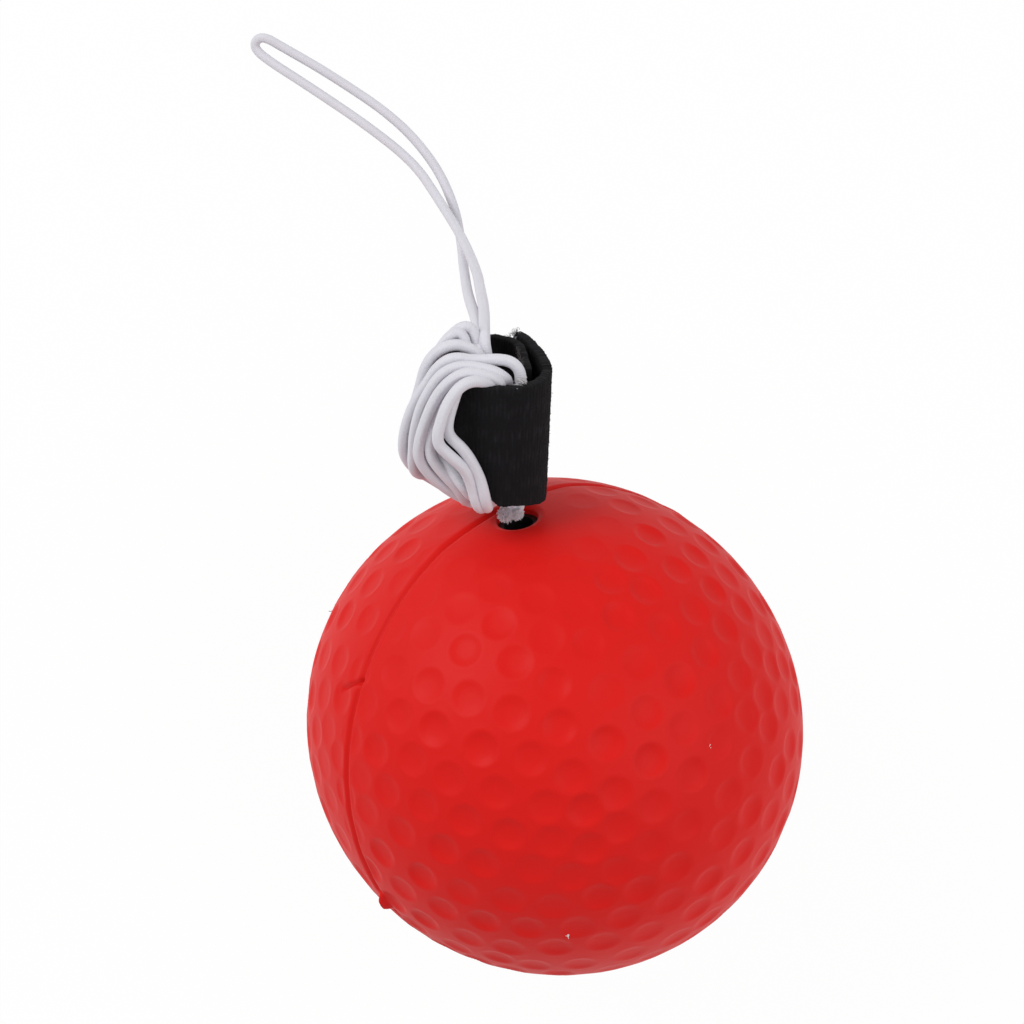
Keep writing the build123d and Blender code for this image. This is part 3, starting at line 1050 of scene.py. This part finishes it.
# the tape's middle line in millimetres and degrees: a bend's centre, radius, start and turn
TAIL_BEND = ((TAIL_SIDE, TAIL_BACK), TAIL_REACH, 180.0, TAIL_START - 180.0)
BACK_BEND = ((0.0, -WRAP_RUN), WRAP_REACH, TAIL_START, 360.0 - TAIL_START)
FRONT_BEND = ((0.0, 0.0), WRAP_REACH, 0.0, 177.0)
FLAP_BEND = ((FLAP_REACH - WRAP_REACH, 0.0), FLAP_REACH, 180.0, FLAP_TURN)
TAPE_STEP = 0.14
HEIGHT_STEPS = 92
RIM_ROUND = 0.12
FACE_FUZZ = 0.028
EDGE_WANDER = 0.1
# how far the lower edge stands above the strap's base, and how far it drops on the fold's side
EDGE_LIFT = 0.66
EDGE_DROP = 1.6
# the loose threads' radius, in metres
THREAD_RADIUS = 0.05 * MM


def tape_bend(bend):
    """Places along a bend of the tape and the outward direction at each."""
    (side, front), radius, start, turn = bend
    angles = np.radians(np.arange(start, start + turn, math.degrees(TAPE_STEP / radius)))
    outwards = np.column_stack([np.cos(angles), np.sin(angles)])
    return np.array([side, front]) + outwards * radius, outwards


def tape_run(side, from_front, to_front, outward):
    """Places along a straight run of the tape and the outward direction at each."""
    fronts = np.linspace(from_front, to_front, int(abs(to_front - from_front) / TAPE_STEP))
    places = np.column_stack([np.full(len(fronts), side), fronts])
    return places, np.tile([outward, 0.0], (len(fronts), 1))


def wrap_line():
    """The wrap, from its inner end round the back, the side and the front to the fold."""
    parts = (
        tape_run(TAIL_SIDE - TAIL_REACH, TAIL_BACK + TAIL_RUN, TAIL_BACK + TAPE_STEP, -1.0),
        tape_bend(TAIL_BEND),
        tape_bend(BACK_BEND),
        tape_run(WRAP_REACH, -WRAP_RUN, -TAPE_STEP, 1.0),
        tape_bend(FRONT_BEND),
    )
    return [np.concatenate(stack) for stack in zip(*parts)]


def tape_mesh(name, line, thickness, seed, skew=0.0):
    """A strip of tape with a fuzzy face and slightly ragged edges, and its UV map."""
    places, outwards = line
    half = thickness / 2 / MM
    width = STRAP_WIDTH / MM
    rim = [(half * math.cos(a), half * 0.2 * math.sin(a)) for a in np.linspace(0, math.pi, 5)]
    heights = np.linspace(RIM_ROUND, width - RIM_ROUND, HEIGHT_STEPS)
    section = [(half, height) for height in heights]
    section += [(x, width - RIM_ROUND + y) for x, y in rim[1:-1]]
    section += [(-half, height) for height in heights[::-1]]
    section += [(-x, RIM_ROUND - y) for x, y in rim[1:-1]]
    rng = np.random.default_rng(seed)
    fuzz = rng.normal(0, FACE_FUZZ, (len(places), len(section)))
    wander = rng.normal(0, EDGE_WANDER, len(places) + 4)
    ragged = np.convolve(wander, np.ones(5) / 5, mode="valid")
    rows = []
    for i, (place, outward) in enumerate(zip(places, outwards)):
        lift = skew * max(0.0, 1 - math.exp(-(place[0] - 0.3) / 2.2))
        lift += EDGE_LIFT - EDGE_DROP * min(1.0, max(0.0, (-0.9 - place[0]) / 4.5)) ** 1.5
        ring = []
        for j, (out, up) in enumerate(section):
            share = up / width
            side, front = place + outward * (out + fuzz[i, j])
            up += ragged[i] * (share * 2 - 1) + lift * (1 - share) ** 3
            ring.append(tuple(strap_point(side, front, up)))
        rows.append(ring)
    rows = np.array(rows)
    mesh = grid_mesh(name, rows, close_columns=True, caps=True)
    uv = mesh.uv_layers.new(name="cover")
    along = lengths_along(places) * MM
    count = len(section)
    for polygon in mesh.polygons:
        for loop in polygon.loop_indices:
            row, column = divmod(mesh.loops[loop].vertex_index, count)
            uv.data[loop].uv = (along[row], section[column][1] * MM)
    return mesh


class REFLEXBALL_OT_strap(bpy.types.Operator):
    """Makes the strap's wrap and its outer flap, with the loose threads at its cut ends"""

    bl_idname = "reflexball.strap"
    bl_label = "Make the strap"

    def execute(self, context):
        settings = context.scene.reflex_strap
        finish = strap_material(settings.strap_colour, settings.rib_pitch)
        band = tape_mesh("strap_band", wrap_line(), settings.tape_thickness, 21, SKEW)
        wrap = add_piece("strap_band", band, finish)
        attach(wrap, BALL_BODY)
        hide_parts("strap_wrap")
        lap = tape_mesh("strap_outer_flap", tape_bend(FLAP_BEND), settings.tape_thickness, 22)
        flap = add_piece("strap_outer_flap", lap, finish)
        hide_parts("strap_flap")
        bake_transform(flap)
        white = thread_material("strap_white_threads", settings.loose_thread_colour)
        lint = thread_material("strap_lint", settings.lint_colour)
        place = strap_point(-2.2, 4.8, 16.3)
        heading = STRAP_AXIS + STRAP_SIDE
        loose = frayed_threads(31, place, heading, 44, 1.1 * MM, 1.3 * MM, THREAD_RADIUS)
        rim_threads = add_piece("strap_rim_threads", joined_mesh("strap_rim_threads", loose), white)
        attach(rim_threads, BALL_BODY)
        place = strap_point(-3.2, -9.9, 15.6)
        loose = frayed_threads(32, place, STRAP_AXIS, 60, 0.9 * MM, 1.7 * MM, THREAD_RADIUS)
        end_threads = add_piece("strap_end_threads", joined_mesh("strap_end_threads", loose), white)
        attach(end_threads, FLAP_BODY)
        loose = []
        for step, up in enumerate(np.arange(0.4, 16.2, 0.42)):
            place = strap_point(-6.1, 0.35, up)
            loose += frayed_threads(60 + step, place, -STRAP_SIDE, 2, 0.3 * MM, 0.5 * MM, THREAD_RADIUS)
        for step, front in enumerate(np.arange(-4.8, 0.4, 0.3)):
            place = strap_point(TAIL_SIDE - TAIL_REACH + 0.5, front, 16.35)
            loose += frayed_threads(120 + step, place, STRAP_AXIS, 3, 0.5 * MM, 0.4 * MM, 0.04 * MM)
        selvedge = add_piece("strap_selvedge_lint", joined_mesh("strap_selvedge_lint", loose), lint)
        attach(selvedge, BALL_BODY)
        return {"FINISHED"}


# ---- stage ---------------------------------------------------------------------------------------
def seen_rays(nodes, links):
    """1 for the rays by which the background is seen, straight or in gloss or glass, else 0."""
    path = nodes.new("ShaderNodeLightPath")
    seen_by = path.outputs["Is Camera Ray"]
    for ray in ("Is Glossy Ray", "Is Transmission Ray"):
        seen_by = add_math(nodes, links, "MAXIMUM", seen_by, path.outputs[ray])
    return seen_by


def floor_material():
    """A white floor that the camera sees as white and that keeps a soft shadow."""
    material, nodes, links, shader = new_material("studio_floor")
    shader.inputs["Base Color"].default_value = (0.8, 0.8, 0.8, 1.0)
    shader.inputs["Roughness"].default_value = 0.9
    glow = nodes.new("ShaderNodeEmission")
    glow.inputs["Color"].default_value = (1.0, 1.0, 1.0, 1.0)
    seen = nodes.new("ShaderNodeMixShader")
    share = add_math(nodes, links, "MULTIPLY", seen_rays(nodes, links), 0.97)
    links.new(share, seen.inputs["Fac"])
    links.new(shader.outputs["BSDF"], seen.inputs[1])
    links.new(glow.outputs["Emission"], seen.inputs[2])
    links.new(seen.outputs["Shader"], nodes["Material Output"].inputs["Surface"])
    return material


def add_lamp(name, place, aim, size, energy):
    """A square soft lamp aimed at a point."""
    lamp = bpy.data.lights.new(name, "AREA")
    lamp.size = size
    lamp.energy = energy
    holder = bpy.data.objects.new(name, lamp)
    bpy.context.scene.collection.objects.link(holder)
    holder.location = place
    holder.rotation_euler = (Vector(aim) - Vector(place)).to_track_quat("-Z", "Y").to_euler()


CAMERA_PLACE = (-0.01072, -0.02449, 0.34060)
CAMERA_TILT = (math.radians(10), 0.0, math.radians(-11.6))


class REFLEXBALL_OT_camera(bpy.types.Operator):
    """Sets the camera above the ball"""

    bl_idname = "reflexball.camera"
    bl_label = "Set the camera"

    def execute(self, context):
        camera = bpy.data.cameras.new("camera")
        camera.lens = 83.3
        camera.sensor_width = 36.0
        camera.clip_start = 0.01
        holder = bpy.data.objects.new("camera", camera)
        context.scene.collection.objects.link(holder)
        holder.location = CAMERA_PLACE
        holder.rotation_euler = CAMERA_TILT
        context.scene.camera = holder
        return {"FINISHED"}


class REFLEXBALL_OT_stage(bpy.types.Operator):
    """Makes the pale floor and the soft studio light"""

    bl_idname = "reflexball.stage"
    bl_label = "Make the stage"

    def execute(self, context):
        scene = context.scene
        corners = np.array([[(-2, -2, 0), (2, -2, 0)], [(-2, 2, 0), (2, 2, 0)]], float)
        mesh = grid_mesh("floor", corners)
        mesh.materials.append(floor_material())
        floor = bpy.data.objects.new("floor", mesh)
        scene.collection.objects.link(floor)
        world = bpy.data.worlds.new("studio")
        world.use_nodes = True
        sky = world.node_tree.nodes["Background"]
        sky.inputs["Color"].default_value = (1.0, 1.0, 1.0, 1.0)
        nodes, links = world.node_tree.nodes, world.node_tree.links
        shown = add_math(nodes, links, "MULTIPLY_ADD", seen_rays(nodes, links), 0.5, 0.5)
        links.new(shown, sky.inputs["Strength"])
        scene.world = world
        add_lamp("key_lamp", (-0.52, 0.45, 0.65), BALL_CENTRE, 0.45, 4.2)
        add_lamp("fill_lamp", (0.55, -0.2, 0.6), BALL_CENTRE, 0.7, 2.6)
        scene.view_settings.view_transform = "Standard"
        return {"FINISHED"}


class REFLEXBALL_PT_panel(bpy.types.Panel):
    """Sizes, colours and steps of the reflex ball"""

    bl_idname = "REFLEXBALL_PT_panel"
    bl_label = "Reflex ball"
    bl_space_type = "VIEW_3D"
    bl_region_type = "UI"
    bl_category = "Reflex ball"

    def draw(self, context):
        layout = self.layout
        for group in (context.scene.reflex_ball, context.scene.reflex_cord, context.scene.reflex_strap):
            box = layout.box()
            for key in group.bl_rna.properties.keys():
                if key not in ("rna_type", "name"):
                    box.prop(group, key)
        for operator in STEPS:
            layout.operator(operator.bl_idname)


STEPS = (
    REFLEXBALL_OT_camera,
    REFLEXBALL_OT_cord,
    REFLEXBALL_OT_ball,
    REFLEXBALL_OT_anchor,
    REFLEXBALL_OT_strap,
    REFLEXBALL_OT_stage,
)
CLASSES = (BallSettings, CordSettings, StrapSettings, *STEPS, REFLEXBALL_PT_panel)


def register():
    """Registers the classes and hangs the settings on the scene."""
    for item in CLASSES:
        bpy.utils.register_class(item)
    bpy.types.Scene.reflex_ball = bpy.props.PointerProperty(type=BallSettings)
    bpy.types.Scene.reflex_cord = bpy.props.PointerProperty(type=CordSettings)
    bpy.types.Scene.reflex_strap = bpy.props.PointerProperty(type=StrapSettings)


def unregister():
    """Takes the settings and the classes away again."""
    del bpy.types.Scene.reflex_strap
    del bpy.types.Scene.reflex_cord
    del bpy.types.Scene.reflex_ball
    for item in reversed(CLASSES):
        bpy.utils.unregister_class(item)


def main():
    register()
    bpy.ops.reflexball.camera()
    bpy.ops.reflexball.cord()
    bpy.ops.reflexball.ball()
    bpy.ops.reflexball.anchor()
    bpy.ops.reflexball.strap()
    bpy.ops.reflexball.stage()


if __name__ == "__main__":
    main()
